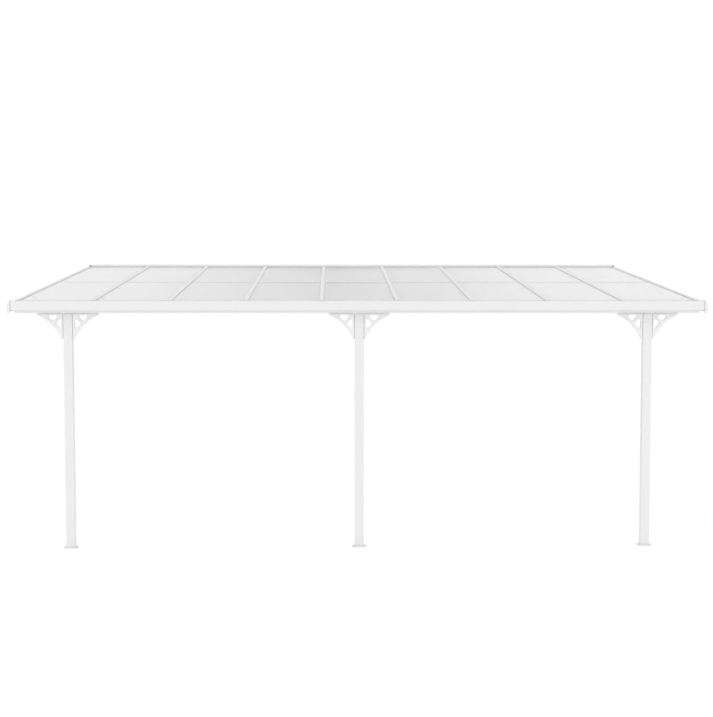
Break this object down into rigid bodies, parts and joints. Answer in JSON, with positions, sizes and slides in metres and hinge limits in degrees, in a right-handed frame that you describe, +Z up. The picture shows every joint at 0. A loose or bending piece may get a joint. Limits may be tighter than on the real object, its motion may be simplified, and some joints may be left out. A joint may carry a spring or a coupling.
{
  "type": "attached patio cover",
  "caption": "Lean-to roof of frosted sheets between white rafters, from a wall profile down to a guttered front beam on square posts with arched corbels.",
  "frame": {"origin": "middle of the wall profile's flat back face, which is fixed to the wall", "axes": "+X along the wall to the right as seen from the garden, +Y into the wall, +Z up"},
  "size_m": [6.7884, 3.583, 2.8729],
  "materials": {
    "powder_coat": "smooth satin powder coat on extruded aluminium",
    "roof_coat": "satin powder coat on extruded aluminium roof bars",
    "wall_coat": "satin powder coat, seen darker on the wall profile",
    "moulding": "fine matte moulded plastic",
    "glazing": "frosted translucent twin-wall sheet with fine flutes down the slope",
    "footing": "satin powder coat on steel plate"
  },
  "bodies": {
    "root": {"base_plate_left": "footing", "base_plate_middle": "footing", "base_plate_right": "footing", "corbel_left_post_left": "moulding", "corbel_left_post_right": "moulding", "corbel_middle_post_left": "moulding", "corbel_middle_post_right": "moulding", "corbel_right_post_left": "moulding", "corbel_right_post_right": "moulding", "front_beam": "powder_coat", "gutter_cap_left": "moulding", "gutter_cap_right": "moulding", "gutter_connector_1": "moulding", "gutter_connector_2": "moulding", "gutter_connector_3": "moulding", "gutter_section_1": "powder_coat", "gutter_section_2": "powder_coat", "gutter_section_3": "powder_coat", "gutter_section_4": "powder_coat", "post_left": "powder_coat", "post_middle": "powder_coat", "post_right": "powder_coat", "rafter_01": "roof_coat", "rafter_02": "roof_coat", "rafter_03": "roof_coat", "rafter_04": "roof_coat", "rafter_05": "roof_coat", "rafter_06": "roof_coat", "rafter_07": "roof_coat", "rafter_08": "roof_coat", "rafter_09": "roof_coat", "rafter_10": "roof_coat", "roof_panel_1": "glazing", "roof_panel_2": "glazing", "roof_panel_3": "glazing", "roof_panel_4": "glazing", "roof_panel_5": "glazing", "roof_panel_6": "glazing", "roof_panel_7": "glazing", "roof_panel_8": "glazing", "roof_panel_9": "glazing", "wall_profile": "wall_coat"}
  },
  "joints": []
}
